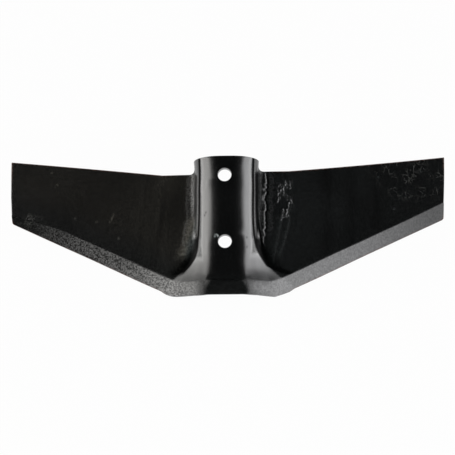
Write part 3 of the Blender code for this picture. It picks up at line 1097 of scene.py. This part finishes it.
# Its textures: the bumps' size in millimetres, the detail and the stretch. Then the cracks' net.
SPECKS = (2.4, 4)
DUST = (0.8, 4)
WORN = (3.5, 3)
CLOUDS = (6, 3)
SPECKLE = (1.6, 3)
STROKES = (1.1, 2, (1, 0.22, 1))
PEEL = (2.6, 1)
FINE = (0.7, 2)
FORGED = (1.7, 3)
BRUSHING = (0.7, 2, (1, 0.08, 1))
CRACK_GAPS = (14, 3)
CRACK_WANDER = (9, 2)
CRACK_REACH = (14.0, 14.0, 14.0)
CRACK_STRETCH = (1, 0.7, 1)
CRACK_CELL = 7.0


def crack_lines(nodes):
    """Thin wandering cracks with gaps, where the enamel is crazed."""
    wander = nodes.vector("MULTIPLY", nodes.noise(*CRACK_WANDER), CRACK_REACH)
    cells = nodes.new("ShaderNodeTexVoronoi")
    cells.feature = "DISTANCE_TO_EDGE"
    cells.inputs["Scale"].default_value = 1 / CRACK_CELL
    nodes.feed(cells.inputs["Vector"], nodes.vector("ADD", nodes.place(CRACK_STRETCH), wander))
    cracks = nodes.minus(1.0, nodes.step(cells.outputs["Distance"], 0.01, 0.07))
    gaps = nodes.step(nodes.noise(*CRACK_GAPS), 0.42, 0.60)
    return nodes.times(nodes.times(cracks, gaps), nodes.mask("crackle"))


def enamel_colour(nodes, cracks, worn):
    """Speckled black, dusty where grainy, with cracks and worn spots."""
    tint = nodes.colour(nodes.mask("warm"), COOL_TINT, WARM_TINT)
    specks = nodes.plus(-0.4, nodes.times(nodes.noise(*SPECKS), 2.8))
    dust = nodes.step(nodes.noise(*DUST), 0.60, 0.72)
    dust = nodes.times(dust, nodes.times(nodes.mask("grain"), 0.05))
    tone = nodes.plus(nodes.times(nodes.mask("tone"), specks), dust)
    paint = nodes.colour(cracks, nodes.vector("MULTIPLY", tint, tone), CRACK_COLOUR)
    return nodes.colour(worn, paint, WORN_COLOUR)


def enamel_roughness(nodes, worn):
    """The mask's roughness, a little cloudy, and more where worn."""
    clouds = nodes.times(nodes.minus(nodes.noise(*CLOUDS), 0.5), 0.10)
    rough = nodes.plus(nodes.mask("rough"), clouds)
    return nodes.clamped(nodes.plus(rough, nodes.times(worn, 0.25)))


def enamel_gloss(nodes):
    """The mask's shine, broken up by grain and brush strokes."""
    speckle = nodes.minus(nodes.step(nodes.noise(*SPECKLE), 0.33, 0.69), 0.5)
    speckle = nodes.times(nodes.mask("grain"), nodes.times(speckle, 1.8))
    strokes = nodes.minus(nodes.step(nodes.noise(*STROKES), 0.34, 0.66), 0.5)
    strokes = nodes.times(nodes.times(strokes, nodes.mask("brushed")), 0.35)
    broken = nodes.plus(nodes.plus(1.0, speckle), strokes)
    return nodes.times(nodes.times(nodes.mask("shine"), 0.5), broken)


def enamel_relief(nodes, cracks):
    """The enamel's peel, the forged grain, the brushing and the cracks, as a bump."""
    height = nodes.times(nodes.noise(*PEEL), 0.012)
    for part in (
        nodes.times(nodes.noise(*FINE), 0.004),
        nodes.times(nodes.noise(*FORGED), nodes.times(nodes.mask("grain"), 0.30)),
        nodes.times(nodes.noise(*BRUSHING), nodes.times(nodes.mask("brushed"), 0.10)),
        nodes.times(cracks, 0.05),
    ):
        height = nodes.plus(height, part)
    uneven = nodes.new("ShaderNodeBump")
    uneven.inputs["Distance"].default_value = MILLI
    nodes.feed(uneven.inputs["Height"], height)
    return uneven.outputs["Normal"]


def enamel():
    """Gloss black enamel over forged and ground steel."""
    nodes = Nodes("black_paint")
    cracks = crack_lines(nodes)
    worn = nodes.times(nodes.mask("rust"), nodes.step(nodes.noise(*WORN), 0.30, 0.62))
    inputs = nodes.shader.inputs
    nodes.feed(inputs["Base Color"], enamel_colour(nodes, cracks, worn))
    nodes.feed(inputs["Roughness"], enamel_roughness(nodes, worn))
    nodes.feed(inputs["Specular IOR Level"], enamel_gloss(nodes))
    nodes.feed(inputs["Normal"], enamel_relief(nodes, cracks))
    inputs["IOR"].default_value = ENAMEL_INDEX
    return nodes.material


mesh.materials.append(enamel())
mesh.set_sharp_from_angle(angle=SHARP_FROM)

# The studio

FLOOR_RADIUS = 7.0
WALL_HEIGHT = 1.1
WALL_BEND = 0.6
BEND_STEPS = 12
BACKDROP_SIDES = 96
PAPER_COLOUR = (0.9, 0.9, 0.9, 1)
PAPER_ROUGHNESS = 0.9
PAPER_GLOW = 0.97
WORLD_COLOUR = (0.015, 0.015, 0.016, 1)
LAMP_DISTANCE = 2.2
LAMP_AIM = (0, 0, 0.05)


def backdrop_material():
    """White paper that mostly glows for the camera and reflections, and keeps the shadow."""
    nodes = Nodes("white_paper")
    nodes.shader.inputs["Base Color"].default_value = PAPER_COLOUR
    nodes.shader.inputs["Roughness"].default_value = PAPER_ROUGHNESS
    white_glow = nodes.new("ShaderNodeEmission")
    rays = nodes.new("ShaderNodeLightPath").outputs
    seen = nodes.plus(rays["Is Camera Ray"], rays["Is Glossy Ray"])
    seen = nodes.clamped(nodes.plus(seen, rays["Is Transmission Ray"]))
    mix = nodes.new("ShaderNodeMixShader")
    nodes.feed(mix.inputs["Fac"], nodes.times(seen, PAPER_GLOW))
    nodes.feed(mix.inputs[1], nodes.shader.outputs[0])
    nodes.feed(mix.inputs[2], white_glow.outputs[0])
    nodes.feed(nodes.tree.nodes["Material Output"].inputs["Surface"], mix.outputs[0])
    return nodes.material


def backdrop():
    """A round floor that bends up into a low wall, as one turned profile."""
    start = FLOOR_RADIUS - WALL_BEND
    bend = np.linspace(0, math.pi / 2, BEND_STEPS + 1)
    profile = [(start + WALL_BEND * math.sin(a), WALL_BEND * (1 - math.cos(a))) for a in bend]
    profile.append((FLOOR_RADIUS, WALL_HEIGHT))
    around = np.linspace(0, 2 * math.pi, BACKDROP_SIDES + 1)[:-1]
    points = [(0.0, 0.0, 0.0)]
    for radius, height in profile:
        points += [(radius * math.cos(a), radius * math.sin(a), height) for a in around]
    count = BACKDROP_SIDES
    pairs = [(i, (i + 1) % count) for i in range(count)]
    sides = [(0, 1 + i, 1 + j) for i, j in pairs]
    for first in range(1, len(points) - count, count):
        second = first + count
        sides += [(first + i, second + i, second + j, first + j) for i, j in pairs]
    body = bpy.data.meshes.new("backdrop")
    body.from_pydata(points, [], sides)
    body.shade_smooth()
    body.materials.append(backdrop_material())
    paper = new_object("backdrop", body)


backdrop()

world = bpy.data.worlds.new("studio")
scene.world = world
world.use_nodes = True
world.node_tree.nodes["Background"].inputs["Color"].default_value = WORLD_COLOUR


def softbox(name, azimuth, top, radiance, colour):
    """A soft panel at this azimuth, in degrees from the front towards +X, up to this height."""
    turn, climb = math.radians(azimuth), math.radians((PANEL_LOWEST + top) / 2)
    out = Vector((math.sin(turn) * math.cos(climb), -math.cos(turn) * math.cos(climb), math.sin(climb)))
    data = bpy.data.lights.new(name, "AREA")
    data.shape = "RECTANGLE"
    data.size = 2 * LAMP_DISTANCE * math.tan(math.radians(PANEL_HALF_WIDTH))
    data.size_y = 2 * LAMP_DISTANCE * math.tan(math.radians((top - PANEL_LOWEST) / 2))
    data.energy = radiance * math.pi * data.size * data.size_y
    data.color = colour
    lamp = new_object(name, data)
    lamp.location = Vector(LAMP_AIM) + out * LAMP_DISTANCE
    lamp.rotation_euler = out.to_track_quat("Z", "Y").to_euler()
    lamp.visible_camera = False


# Each side's light is a bank of overlapping panels: their azimuths in degrees, and the heights of
# their tops with the radiance of each. The panels in front reach higher.
PANEL_AZIMUTHS = (46, 62, 78, 94, 110, 126)
PANEL_HALF_WIDTH = 16
PANEL_LOWEST = -3
FRONT_RISE_BELOW = 80
FRONT_RISE = 0.25
PANEL_TOPS = {-1: ((30, 0.48), (35, 0.48), (40, 0.55)), 1: ((28, 0.52), (32, 0.48), (36, 0.52))}
PANEL_COLOURS = {-1: (1.0, 0.985, 0.96), 1: (0.985, 0.985, 1.0)}
SIDE_NAMES = {-1: "left", 1: "right"}
for side, layers in PANEL_TOPS.items():
    for azimuth in PANEL_AZIMUTHS:
        for top, radiance in layers:
            top += max(0, FRONT_RISE_BELOW - azimuth) * FRONT_RISE
            name = f"lamp_{SIDE_NAMES[side]}_{azimuth}_{round(top)}"
            softbox(name, side * azimuth, top, radiance, PANEL_COLOURS[side])
